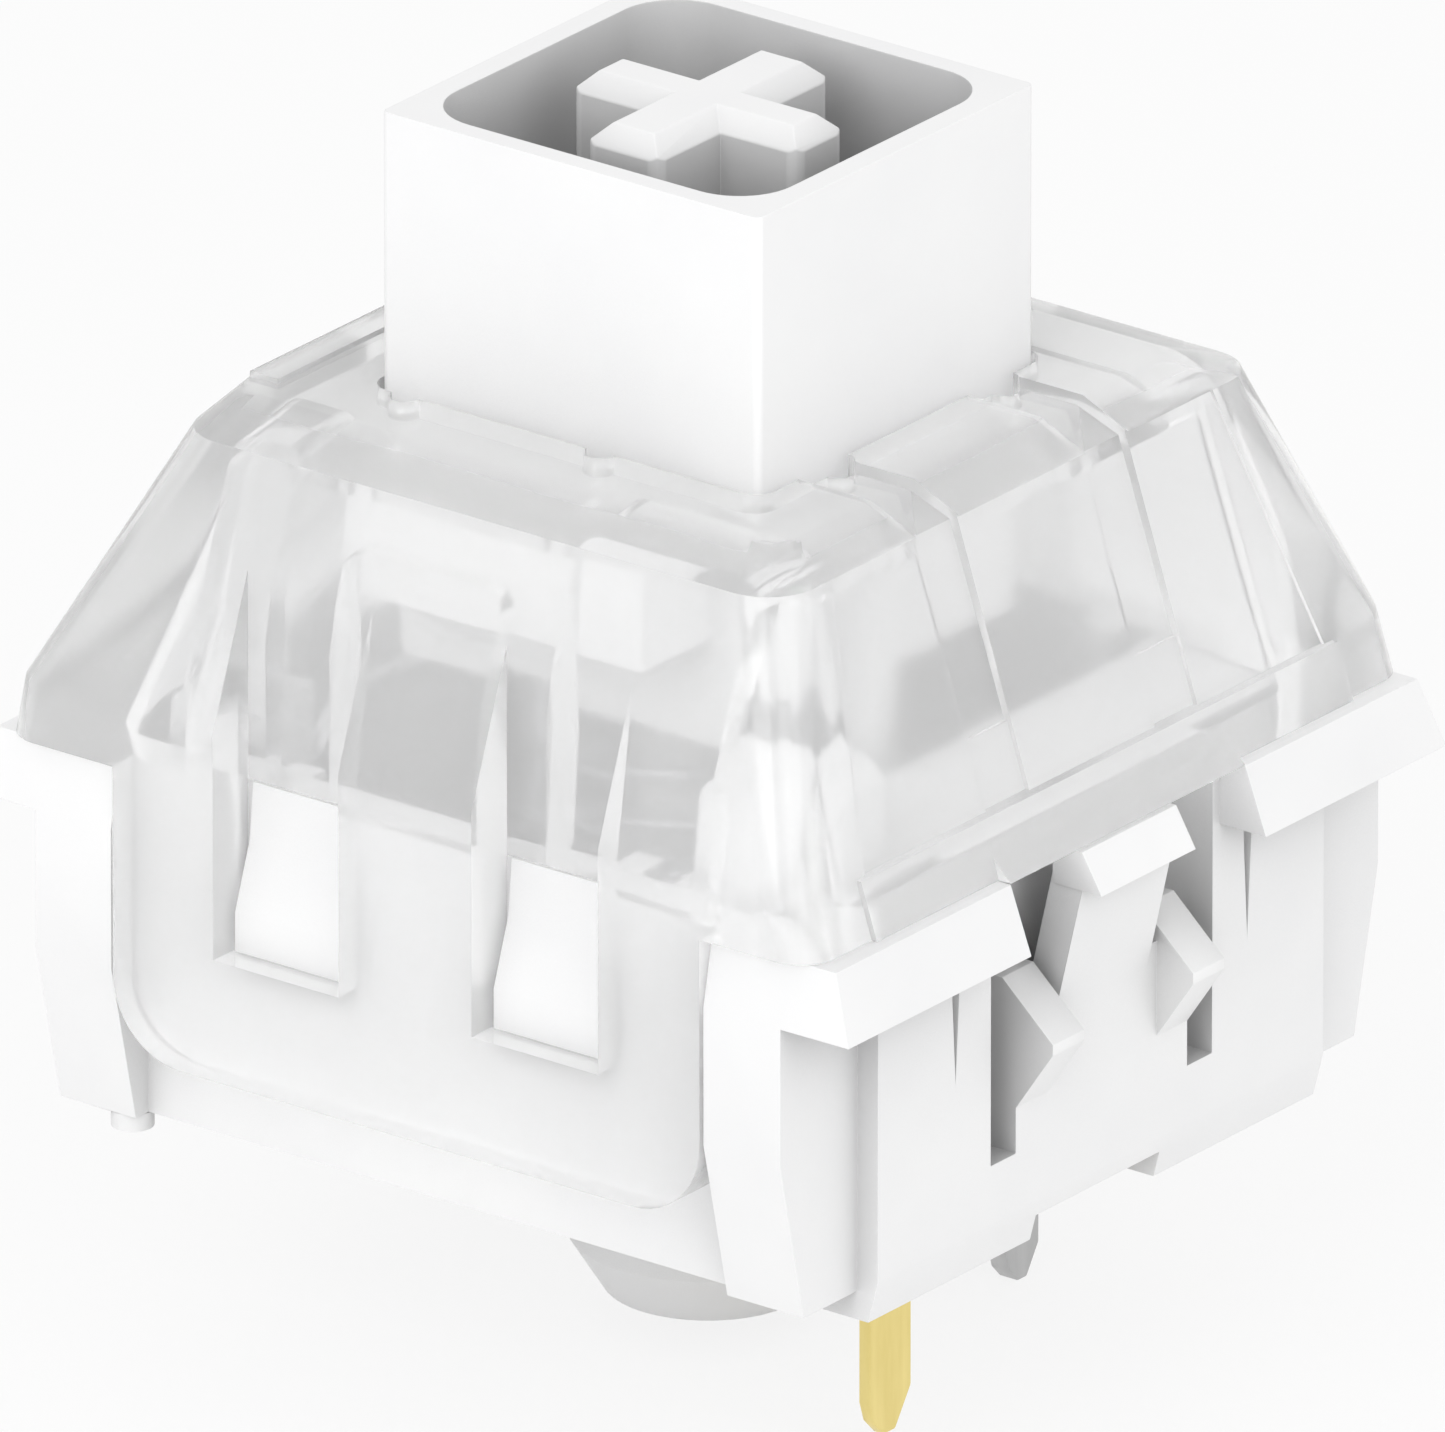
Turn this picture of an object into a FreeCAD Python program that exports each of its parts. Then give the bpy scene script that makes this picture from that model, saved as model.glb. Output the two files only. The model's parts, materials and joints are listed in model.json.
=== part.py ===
import FreeCAD, Part
import math
import os

# Mechanical keyboard switch with a boxed stem, in millimetres.
# Origin: the axis of the centre post on the face of the circuit board.
# +Z is up, +Y is the side of the solder pins, and the E and W sides face +X and -X.

# Sizes of the interfaces
plate_face_z = 5.0            # the mounting plate's top face above the circuit board
body_size = 13.95             # square body that drops through the plate
flange_length = 15.6          # flange from N to S, which rests on the plate
post_radius = 2.0
post_length = 2.85
post_cone_height = 0.8
post_cone_inset = 0.5
travel = 3.6                  # full press of the stem
cross_size = 4.0              # cross that carries the keycap
cross_bar_ns = 1.12           # width of the bar that runs N to S
cross_bar_ew = 1.3            # width of the bar that runs E to W

# Bottom housing
half_body = body_size / 2
flange_height = 1.0
flange_bevel_ns = 0.37
flange_bevel_ew = 0.2
flange_gap_half = 2.73        # gap in the flange for the latch
wall_plate_half = 5.2         # the plain part of the N and S walls, between the corner columns
column_setback = 0.37         # the columns stand this far behind the N and S walls
column_taper = 0.55
column_taper_top = 2.9
foot_z = 0.43                 # the columns and the E and W walls end here, above the board
column_nub = (6.1, -5.56)     # small round nub under the SE column
column_nub_radius = 0.31
column_nub_foot_z = 0.16
wall_taper = 0.17
wall_taper_top = 0.65
side_foot_half = 4.3
wall_notch_half = 1.44
wall_notch_height = 0.4
wall_groove_x = 3.4           # small moulding grooves under the flange on the N and S walls
wall_groove_top_z = 4.8
wall_groove_foot_z = 3.1
wall_groove_width = 0.2
wall_groove_depth = 0.12
wall_thickness = 1.02
floor_thickness = 1.2
side_wall = 1.675             # E and W walls, from the outer face to the inner cavity
spring_boss_radius = 1.8
spring_boss_top_z = 3.0
bore_radius = 1.05
bore_floor = 0.6
guide_rib_width = 0.5
guide_rib_depth = 0.5
fit_gap = 0.05                # running or assembly clearance between mating faces

# Latch on the N and S walls
tongue_half = 2.0
tongue_thickness = 0.5
tongue_slot = 0.58
tongue_root_z = 1.55
tongue_flex_gap = 0.37
pocket_wall = 0.4
wing_width = 0.73
wing_reach = 0.65
wing_ridge_z = 3.28
wing_ridge_height = 0.16      # flat ridge of the wings
wing_rise = 0.89
wing_drop = 1.04
arm_half = 1.07
arm_root_z = 3.4
arm_lean = 0.45
head_half = 1.1
head_bottom_z = 5.36
head_reach = 0.82
head_bevel = 0.35

# Top housing
roof_z = 11.05
roof_edge_z = 10.69
roof_thickness = 0.9
shell_wall = 0.75
cavity_draft = 0.2
side_break_z = 6.9            # the E and W faces are upright up to here
side_slope = 0.36
side_roof_half = 4.55
north_base = 7.13
north_edge = 5.56
north_roof = 4.75
south_base = 7.22
south_edge = 5.2
south_roof = 4.98
corner_radius_base = 0.6
corner_radius_edge = 0.8
corner_radius_roof = 0.5
ledge_top_z = 6.84
ledge_proud = 0.09
ledge_half = 5.55
groove_inner = 1.46
groove_width = 1.0
groove_depth = 0.18
groove_foot_z = 7.8
groove_step_depth = 0.07      # the shallow lower part of the grooves
panel_depth = 0.06            # the flat N face lies behind the rounded corners
panel_half_top = 4.42
panel_half_foot = 5.35
latch_cover_reach = 0.3       # strip over the latch gap
latch_cover_height = 0.45
roof_lip_height = 0.08
roof_lip_width = 0.5
roof_lip_half = 4.1
side_notches_y = (-2.8, 0.65)   # rounded guide notches in the opening for the stem
north_notches_x = (-2.28, 1.55)
notch_radius = 0.24
inner_pockets = (             # (y low, y high, top z) of the pockets inside the E and W faces
    (-4.4, -3.25, 10.4),
    (-2.12, 0.68, 9.55),
    (1.72, 4.8, 10.4),
)
pocket_corner_radius = 0.3
pocket_depth = 1.4
skirt_thickness = 0.82
skirt_half = 5.2
skirt_foot_z = 1.65
skirt_corner_radius = 1.2
window_inner = 1.18
window_width = 2.23
window_sill_z = 3.5
window_back_wall = 0.35       # wall between a window's recess and the pocket behind it
hook_thickness = 0.5

# Stem
stem_top_z = 15.2
shroud_half_x = 3.2
shroud_half_y = 3.34
shroud_wall_x = 0.35
shroud_wall_y = 0.39
shroud_corner_radius = 0.9
shroud_floor_z = 11.2
shroud_edge_round = 0.12
cross_rise = 0.08             # the cross stands this far above the shroud
cross_bevel = 0.29
cross_corner_radius = 0.2
stem_gap = 0.14               # running gap round the shroud
opening_radius = 0.35
stem_body_half_x = 3.0
stem_body_half_y = 2.95
stem_body_foot_z = 6.9
shoulder_gap = 0.23            # from the stem's shoulders to the top housing's E and W walls
shoulder_half_y = 2.6
shoulder_height = 1.5
spring_seat_z = 10.0
stem_bore_radius = 2.55
guide_pin_radius = 0.9
guide_pin_length = 7.6
leg_half_width = 0.4
leg_thickness = 0.62
leg_foot_z = 4.5
leg_top_z = 9.1
leg_pocket_depth = 0.4        # recess in the floor that the leg enters at full travel
click_nose_half = 0.8
click_nose_height = 1.45

# Return spring
spring_mean_radius = 2.22
spring_wire = 0.26
spring_turns = 9

# Click bar
click_wire = 0.35
click_half = 3.0
click_bar_y = -4.3
click_bar_z = 5.6
click_foot_y = -4.6
click_foot_z = 2.0
click_foot_length = 1.2
click_bend_radius = 0.55

# Contact chamber on the N side
slide_ratio = 0.1             # contact slider travel for each millimetre of stem travel
chamber_wall_y = 3.75
chamber_wall = 0.3
chamber_wall_top_z = 5.6
cover_thickness = 0.35
cover_rise_width = 1.5        # raised corner of the contact cover, seen through the clear housing
cover_rise_y = (3.85, 5.3)
cover_rise_top_z = 7.5
corner_post_width = 1.3       # stepped post of the bottom housing in the SE corner
corner_post_y = (-5.2, -3.9)
corner_post_step_z = 6.5
corner_post_top_z = 7.2
corner_post_step = 0.55
small_round = 0.2
contact_x = 0.9
contact_z = 5.0
contact_gap = 0.4
slider_nose_y = 3.3
slider_half_x = 0.4
slider_half_z = 0.35
slider_collar_half_x = 0.75
slider_collar_half_z = 0.5
slider_collar_y = 4.1
slider_collar_thickness = 0.1
slider_tip_y = 4.27
slider_tip_half = 0.25
leaf_thickness = 0.1
leaf_half_height = 0.4
leaf_fold_x = -3.9
leaf_tail = 0.3
leaf_overhang = 0.6
contact_radius = 0.3
contact_thickness = 0.1
fixed_pin_x = 2.54
fixed_pin_y = 5.08
fixed_pin_width = 0.97
fixed_pin_thickness = 0.2
fixed_plate_inner_x = 0.3
fixed_plate_overhang = 0.1     # beyond the pin
moving_pin_x = -3.81
moving_pin_y = 2.54
moving_pin_width = 0.75
moving_pin_thickness = 0.35
moving_plate_thickness = 0.2
fixed_pin_length = 2.98
fixed_pin_tip_height = 0.56
moving_pin_length = 3.42
moving_pin_tip_height = 0.45
terminal_top_z = 5.5

# Sizes that follow from the ones above
flange_top_z = plate_face_z + flange_height
half_flange = flange_length / 2
cavity_half_x = half_body - side_wall
corner_outer_x = cavity_half_x - 0.4
corner_post_x = corner_outer_x - corner_post_width
cover_rise_x = (corner_outer_x - cover_rise_width, corner_outer_x)
inner_wall_y = half_body - wall_thickness
pocket_back_y = half_body - tongue_thickness - tongue_flex_gap
skirt_inner_x = half_body + 0.025 - skirt_thickness
cavity_roof_z = roof_z - roof_thickness
shoulder_top_z = cavity_roof_z - fit_gap
spring_foot_z = floor_thickness
leaf_y = slider_tip_y + 0.03
leaf_end_x = contact_x + leaf_overhang
chamber_inner_y = chamber_wall_y + chamber_wall
fixed_plate_y = fixed_pin_y - fixed_pin_thickness / 2
moving_plate_y = leaf_y + leaf_thickness + fit_gap


def point(x, y, z):
    return FreeCAD.Vector(x, y, z)


def block(x_range, y_range, z_range):
    """A box between the low and the high value on each axis."""
    size = [high - low for low, high in (x_range, y_range, z_range)]
    return Part.makeBox(*size, point(x_range[0], y_range[0], z_range[0]))


def rod(radius, low_z, high_z, centre=(0, 0)):
    return Part.makeCylinder(radius, high_z - low_z, point(centre[0], centre[1], low_z))


def side_prism(profile, x_range):
    """A (y, z) outline that runs along X."""
    corners = [point(x_range[0], y, z) for y, z in profile]
    face = Part.Face(Part.makePolygon(corners + corners[:1]))
    return face.extrude(point(x_range[1] - x_range[0], 0, 0))


def front_prism(profile, y_range):
    """An (x, z) outline that runs along Y."""
    corners = [point(x, y_range[0], z) for x, z in profile]
    face = Part.Face(Part.makePolygon(corners + corners[:1]))
    return face.extrude(point(0, y_range[1] - y_range[0], 0))


def rounded_rectangle(x_range, y_range, z, radius):
    """A closed wire with four straight sides and four quarter arcs, level at z."""
    (x0, x1), (y0, y1) = x_range, y_range
    diagonal = radius * (1 - math.sqrt(0.5))
    r = radius
    d = diagonal
    bends = [
        (point(x1 - r, y0, z), point(x1 - d, y0 + d, z), point(x1, y0 + r, z)),
        (point(x1, y1 - r, z), point(x1 - d, y1 - d, z), point(x1 - r, y1, z)),
        (point(x0 + r, y1, z), point(x0 + d, y1 - d, z), point(x0, y1 - r, z)),
        (point(x0, y0 + r, z), point(x0 + d, y0 + d, z), point(x0 + r, y0, z)),
    ]
    edges = []
    for before, bend in zip(bends[-1:] + bends[:-1], bends):
        edges.append(Part.makeLine(before[2], bend[0]))
        edges.append(Part.Arc(*bend).toShape())
    return Part.Wire(edges)


def rounded_block(x_range, y_range, z_range, radius):
    face = Part.Face(rounded_rectangle(x_range, y_range, z_range[0], radius))
    return face.extrude(point(0, 0, z_range[1] - z_range[0]))


def plate_across_x(x_range, y_range, square_z, round_z, radius):
    """A plate whose two corners at round_z are rounded and whose corners at square_z are square."""
    x = x_range[0]
    y0, y1 = y_range
    side = math.copysign(1, square_z - round_z)
    bend_z = round_z + side * radius
    diagonal = radius * (1 - math.sqrt(0.5))
    middle_z = round_z + side * diagonal
    first_bend = (
        point(x, y0, bend_z), point(x, y0 + diagonal, middle_z), point(x, y0 + radius, round_z)
    )
    second_bend = (
        point(x, y1 - radius, round_z), point(x, y1 - diagonal, middle_z), point(x, y1, bend_z)
    )
    edges = [
        Part.makeLine(point(x, y0, square_z), first_bend[0]),
        Part.Arc(*first_bend).toShape(),
        Part.makeLine(first_bend[2], second_bend[0]),
        Part.Arc(*second_bend).toShape(),
        Part.makeLine(second_bend[2], point(x, y1, square_z)),
        Part.makeLine(point(x, y1, square_z), point(x, y0, square_z)),
    ]
    return Part.Face(Part.Wire(edges)).extrude(point(x_range[1] - x, 0, 0))


def tower(levels):
    """A ruled solid through (z, x half, y low, y high, corner radius) levels."""
    wires = []
    for z, half, low, high, radius in levels:
        wires.append(rounded_rectangle((-half, half), (low, high), z, radius))
    return Part.makeLoft(wires, True, True)


def mirror_x(shape):
    return shape.mirror(point(0, 0, 0), point(1, 0, 0))


def mirror_y(shape):
    return shape.mirror(point(0, 0, 0), point(0, 1, 0))


def both_x(shape):
    return [shape, mirror_x(shape)]


def both_y(shape):
    return [shape, mirror_y(shape)]


def four_corners(shape):
    return both_x(shape) + both_x(mirror_y(shape))


def join(shape, additions):
    return shape.fuse(additions).removeSplitter()


def bent_wire(corners, bend_radius, wire_diameter):
    """Round wire that follows straight runs with a tangent arc at each corner."""
    edges = []
    start = corners[0]
    for before, corner, after in zip(corners, corners[1:], corners[2:]):
        toward_before = (before - corner).normalize()
        toward_after = (after - corner).normalize()
        half_angle = toward_before.getAngle(toward_after) / 2
        setback = bend_radius / math.tan(half_angle)
        centre_direction = (toward_before + toward_after).normalize()
        centre = corner + centre_direction * (bend_radius / math.sin(half_angle))
        arc_start = corner + toward_before * setback
        arc_end = corner + toward_after * setback
        arc_middle = centre - centre_direction * bend_radius
        edges.append(Part.makeLine(start, arc_start))
        edges.append(Part.Arc(arc_start, arc_middle, arc_end).toShape())
        start = arc_end
    edges.append(Part.makeLine(start, corners[-1]))
    path = Part.Wire(edges)
    first_direction = corners[1] - corners[0]
    section = Part.Wire([Part.makeCircle(wire_diameter / 2, corners[0], first_direction)])
    return path.makePipeShell([section], True, True)


def side_face_x(z):
    """Half width of the top housing's E and W faces at a height."""
    return half_body + 0.025 - max(0.0, z - side_break_z) * side_slope


def north_face_y(z):
    """Distance of the top housing's N face at a height."""
    share = (z - flange_top_z) / (roof_edge_z - flange_top_z)
    return north_base + (north_edge - north_base) * share


def make_latch():
    """Springy tongue cut free from the N wall, with two wedge wings, a leaning arm and its head."""
    outer_y = half_body
    inner_y = outer_y - tongue_thickness
    wing_top = wing_ridge_z + wing_rise
    wing_bottom = wing_ridge_z - wing_drop
    tongue = block((-tongue_half, tongue_half), (inner_y, outer_y), (tongue_root_z - 0.1, arm_root_z + 0.3))
    wing_profile = [
        (inner_y, wing_top),
        (outer_y - 0.25, wing_top),
        (outer_y + wing_reach, wing_ridge_z + wing_ridge_height / 2),
        (outer_y + wing_reach, wing_ridge_z - wing_ridge_height / 2),
        (outer_y, wing_bottom),
        (inner_y, wing_bottom),
    ]
    wing = side_prism(wing_profile, (tongue_half - wing_width, tongue_half))
    arm_profile = [
        (inner_y, arm_root_z),
        (outer_y, arm_root_z),
        (outer_y + arm_lean, head_bottom_z),
        (outer_y + arm_lean, head_bottom_z + 0.2),
        (inner_y + arm_lean, head_bottom_z + 0.2),
        (inner_y + 0.05, arm_root_z + 0.5),
    ]
    arm = side_prism(arm_profile, (-arm_half, arm_half))
    head_top_z = flange_top_z - fit_gap
    head_profile = [
        (inner_y + arm_lean, head_bottom_z),
        (outer_y + head_reach, head_bottom_z),
        (outer_y + head_reach - head_bevel, head_top_z),
        (inner_y + arm_lean, head_top_z),
    ]
    head = side_prism(head_profile, (-head_half, head_half))
    return join(tongue, both_x(wing) + [arm, head])


def make_bottom_housing():
    column_y = half_body - column_setback
    body = block((-half_body, half_body), (-half_body, half_body), (0, plate_face_z))
    flange = tower_of_rectangles(
        (plate_face_z, half_body, half_flange),
        (flange_top_z, half_body - flange_bevel_ew, half_flange - flange_bevel_ns),
    )
    flange_gap = block((-flange_gap_half, flange_gap_half), (half_body, half_flange + 1), (0, flange_top_z))
    flange = flange.cut(both_y(flange_gap))
    corner_setback = block((wall_plate_half, half_body), (column_y, half_body), (0, plate_face_z))
    column_foot = block((wall_plate_half, half_body), (skirt_half, half_body), (0, foot_z))
    column_taper_cut = front_prism(
        [(half_body - column_taper, foot_z), (half_body, column_taper_top), (half_body, foot_z)],
        (-half_body, half_body),
    )
    wall_taper_cut = side_prism(
        [(half_body - wall_taper, 0), (half_body, wall_taper_top), (half_body, 0)],
        (-half_body, half_body),
    )
    side_foot = block((side_foot_half, half_body), (-skirt_half, skirt_half), (0, foot_z))
    wall_notch = block((-wall_notch_half, wall_notch_half), (inner_wall_y, half_body), (0, wall_notch_height))
    body = body.cut(four_corners(corner_setback) + four_corners(column_foot))
    body = body.cut(both_x(column_taper_cut) + both_x(side_foot))
    body = body.cut(both_y(wall_taper_cut) + both_y(wall_notch))
    wall_groove = front_prism(
        [
            (wall_groove_x, wall_groove_foot_z),
            (wall_groove_x + wall_groove_width / 2, wall_groove_top_z),
            (wall_groove_x - wall_groove_width / 2, wall_groove_top_z),
        ],
        (half_body - wall_groove_depth, half_body),
    )
    body = body.cut(four_corners(wall_groove))
    body = join(body, [flange])

    cavity = block(
        (-cavity_half_x, cavity_half_x), (-inner_wall_y, inner_wall_y), (floor_thickness, flange_top_z)
    )
    recess_half = skirt_half + fit_gap
    skirt_recess = block(
        (skirt_inner_x - fit_gap, half_body + 1), (-recess_half, recess_half), (-0.1, flange_top_z + 1)
    )
    body = body.cut([cavity] + both_x(skirt_recess))

    slot_edge = tongue_half + tongue_slot
    pocket_wall_block = block(
        (-slot_edge - pocket_wall, slot_edge + pocket_wall),
        (pocket_back_y - pocket_wall, inner_wall_y + 0.1),
        (floor_thickness - 0.1, flange_top_z),
    )
    pocket = block((-slot_edge, slot_edge), (pocket_back_y, half_body + 1), (tongue_root_z, flange_top_z))
    body = join(body, both_y(pocket_wall_block))
    body = body.cut(both_y(pocket))
    body = join(body, both_y(make_latch()))

    hook_base_x = skirt_inner_x - fit_gap
    hook_profile = [
        (hook_base_x - 0.1, flange_top_z),
        (hook_base_x + 0.08, flange_top_z),
        (hook_base_x + 0.16, plate_face_z + 0.15),
        (hook_base_x + hook_thickness, plate_face_z - 0.85),
        (hook_base_x + hook_thickness, window_sill_z + fit_gap),
        (hook_base_x - 0.1, window_sill_z + fit_gap),
    ]
    hook_range = (window_inner + 2 * fit_gap, window_inner + window_width - 2 * fit_gap)
    hook = front_prism(hook_profile, hook_range)
    body = join(body, four_corners(hook))

    post = rod(post_radius, -(post_length - post_cone_height), floor_thickness / 2)
    post_tip_radius = post_radius - post_cone_inset
    cone = Part.makeCone(post_tip_radius, post_radius, post_cone_height, point(0, 0, -post_length))
    boss = rod(spring_boss_radius, floor_thickness / 2, spring_boss_top_z)
    nub = rod(column_nub_radius, column_nub_foot_z, floor_thickness, column_nub)
    chamber_wall_block = block(
        (-cavity_half_x - 0.1, cavity_half_x + 0.1),
        (chamber_wall_y, chamber_inner_y),
        (floor_thickness - 0.1, chamber_wall_top_z),
    )
    rib_y = shoulder_half_y + 3 * fit_gap
    guide_rib = block(
        (cavity_half_x - guide_rib_depth, cavity_half_x + 0.1),
        (rib_y, rib_y + guide_rib_width),
        (floor_thickness - 0.1, flange_top_z),
    )
    click_seat = block(
        (click_half - click_foot_length, click_half - click_bend_radius),
        (click_foot_y - click_wire, click_foot_y + click_wire),
        (floor_thickness - 0.1, click_foot_z - click_wire / 2 - 0.025),
    )
    corner_post = block(
        (corner_post_x, corner_outer_x), corner_post_y, (floor_thickness - 0.1, corner_post_step_z)
    )
    corner_post_top = block(
        (corner_post_x + corner_post_step, corner_outer_x),
        (corner_post_y[0] + small_round, corner_post_y[1]),
        (corner_post_step_z - 0.1, corner_post_top_z),
    )
    corner_post_root = block(
        (corner_post_x, cavity_half_x + 0.1), corner_post_y, (floor_thickness - 0.1, plate_face_z)
    )
    additions = [post, cone, boss, nub, chamber_wall_block, corner_post, corner_post_top, corner_post_root]
    body = join(body, additions + four_corners(guide_rib) + both_x(click_seat))

    bore = rod(bore_radius, -post_length + bore_floor, spring_boss_top_z)
    slider_hole = block(
        (contact_x - slider_half_x - fit_gap, contact_x + slider_half_x + fit_gap),
        (chamber_wall_y - 0.1, chamber_inner_y + 0.1),
        (contact_z - slider_half_z - fit_gap, contact_z + slider_half_z + fit_gap),
    )
    fixed_slot = pin_slot(fixed_pin_x, fixed_pin_y, fixed_pin_width, fixed_pin_thickness)
    moving_slot = pin_slot(moving_pin_x, moving_pin_y, moving_pin_width, moving_pin_thickness)
    foot_slot = block(
        (moving_pin_x - moving_pin_width / 2 - fit_gap, moving_pin_x + moving_pin_width / 2 + fit_gap),
        (chamber_wall_y - 0.1, chamber_inner_y + 0.1),
        (floor_thickness, floor_thickness + moving_plate_thickness + 3 * fit_gap),
    )
    leg_pocket = block(
        (contact_x - leg_half_width - 2 * fit_gap, contact_x + leg_half_width + 2 * fit_gap),
        (ramp_y(contact_z) - leg_thickness - 2 * fit_gap, ramp_y(contact_z) + 2 * fit_gap),
        (floor_thickness - leg_pocket_depth, floor_thickness + 0.1),
    )
    return body.cut([bore, slider_hole, fixed_slot, moving_slot, foot_slot, leg_pocket])


def tower_of_rectangles(lower, upper):
    """A ruled solid between two centred rectangles, each given as (z, x half, y half)."""
    wires = []
    for z, half_x, half_y in (lower, upper):
        corners = [
            point(-half_x, -half_y, z),
            point(half_x, -half_y, z),
            point(half_x, half_y, z),
            point(-half_x, half_y, z),
        ]
        wires.append(Part.makePolygon(corners + corners[:1]))
    return Part.makeLoft(wires, True, True)


def pin_slot(x, y, width, thickness):
    """Hole through the floor that a terminal's pin passes."""
    half_x = width / 2 + fit_gap
    half_y = thickness / 2 + fit_gap
    return block((x - half_x, x + half_x), (y - half_y, y + half_y), (-0.1, floor_thickness + 0.1))


def make_top_housing():
    edge_half = side_face_x(roof_edge_z)
    shell = tower([
        (flange_top_z, side_face_x(flange_top_z), -south_base, north_base, corner_radius_base),
        (side_break_z, side_face_x(side_break_z), -south_base + 0.18, north_face_y(side_break_z),
         corner_radius_base),
        (roof_edge_z, edge_half, -south_edge, north_edge, corner_radius_edge),
        (roof_z, side_roof_half, -south_roof, north_roof, corner_radius_roof),
    ])
    skirt = plate_across_x(
        (skirt_inner_x, side_face_x(flange_top_z)), (-skirt_half, skirt_half),
        side_break_z, skirt_foot_z, skirt_corner_radius,
    )
    ledge = side_prism(
        [
            (north_edge, flange_top_z),
            (north_base + ledge_proud, flange_top_z),
            (north_face_y(ledge_top_z) + ledge_proud, ledge_top_z),
            (north_edge, ledge_top_z),
        ],
        (-ledge_half, ledge_half),
    )
    latch_cover = side_prism(
        [
            (north_edge, flange_top_z),
            (north_base + latch_cover_reach, flange_top_z),
            (north_face_y(flange_top_z + latch_cover_height), flange_top_z + latch_cover_height),
            (north_edge, flange_top_z + latch_cover_height),
        ],
        (-flange_gap_half, flange_gap_half),
    )
    lip = block(
        (-roof_lip_half, roof_lip_half),
        (-south_roof, -south_roof + roof_lip_width),
        (roof_z - 0.2, roof_z + roof_lip_height),
    )
    shell = join(shell.cut(make_north_panel()), both_x(skirt) + [ledge, latch_cover, lip])

    cavity = tower([
        (flange_top_z, cavity_half_x - 0.1, -inner_wall_y, inner_wall_y, corner_radius_base),
        (cavity_roof_z, side_face_x(cavity_roof_z) - shell_wall - cavity_draft, -south_edge + shell_wall,
         north_face_y(cavity_roof_z) - shell_wall, corner_radius_base),
    ])
    shell = shell.cut(cavity)
    for pocket_range in inner_pockets:
        shell = shell.cut(both_x(make_inner_pocket(*pocket_range)))

    window = block(
        (skirt_inner_x, half_body + 1), (window_inner, window_inner + window_width), (window_sill_z, roof_z)
    )
    opening = rounded_block(
        (-shroud_half_x - stem_gap, shroud_half_x + stem_gap),
        (-shroud_half_y - stem_gap, shroud_half_y + stem_gap),
        (cavity_roof_z - 0.5, roof_z + 1),
        opening_radius,
    )
    notch_height = (cavity_roof_z - 0.5, roof_z + 1)
    side_notches = [rod(notch_radius, *notch_height, (shroud_half_x + stem_gap, y)) for y in side_notches_y]
    north_notches = [rod(notch_radius, *notch_height, (x, shroud_half_y + stem_gap)) for x in north_notches_x]
    groove_profile = [
        (north_base + 1, groove_foot_z),
        (north_face_y(groove_foot_z) - groove_depth, groove_foot_z),
        (north_edge - groove_depth, roof_edge_z - groove_depth / 2),
        (north_roof - 0.1, roof_z - groove_depth),
        (shroud_half_y, roof_z - groove_depth),
        (shroud_half_y, roof_z + 1),
        (north_base + 1, roof_z + 1),
    ]
    groove = side_prism(groove_profile, (groove_inner, groove_inner + groove_width))
    groove_step_profile = [
        (north_base + 1, ledge_top_z),
        (north_face_y(ledge_top_z) - panel_depth - groove_step_depth, ledge_top_z),
        (north_face_y(groove_foot_z) - panel_depth - groove_step_depth, groove_foot_z),
        (north_base + 1, groove_foot_z),
    ]
    groove_step = side_prism(groove_step_profile, (groove_inner, groove_inner + groove_width))
    shell = shell.cut(four_corners(window) + both_x(groove) + both_x(groove_step) + [opening])
    return shell.cut(north_notches + side_notches + [mirror_x(notch) for notch in side_notches])


def make_north_panel():
    """The thin slice that is taken off the N face between its rounded corners."""
    outline = [
        (-panel_half_foot, ledge_top_z),
        (panel_half_foot, ledge_top_z),
        (panel_half_top, roof_edge_z),
        (-panel_half_top, roof_edge_z),
    ]
    outside = side_prism(
        [
            (north_face_y(ledge_top_z) - panel_depth, ledge_top_z),
            (north_base + 1, ledge_top_z),
            (north_base + 1, roof_edge_z),
            (north_edge - panel_depth, roof_edge_z),
        ],
        (-panel_half_foot, panel_half_foot),
    )
    return front_prism(outline, (north_edge - 1, north_base + 1)).common(outside)


def make_inner_pocket(low_y, high_y, top_z):
    """Pocket with two rounded upper corners behind the E face: upright by the windows, then sloped."""
    inner_x = cavity_half_x - pocket_depth
    upright_x = skirt_inner_x - window_back_wall
    slope_start_z = side_break_z + (side_face_x(side_break_z) - shell_wall - upright_x) / side_slope
    profile = [
        (inner_x, flange_top_z),
        (upright_x, flange_top_z),
        (upright_x, slope_start_z),
        (side_face_x(top_z) - shell_wall, top_z),
        (inner_x, top_z),
    ]
    slab = front_prism(profile, (low_y, high_y))
    outline = plate_across_x((inner_x, half_body), (low_y, high_y), flange_top_z, top_z, pocket_corner_radius)
    return slab.common(outline)


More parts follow.
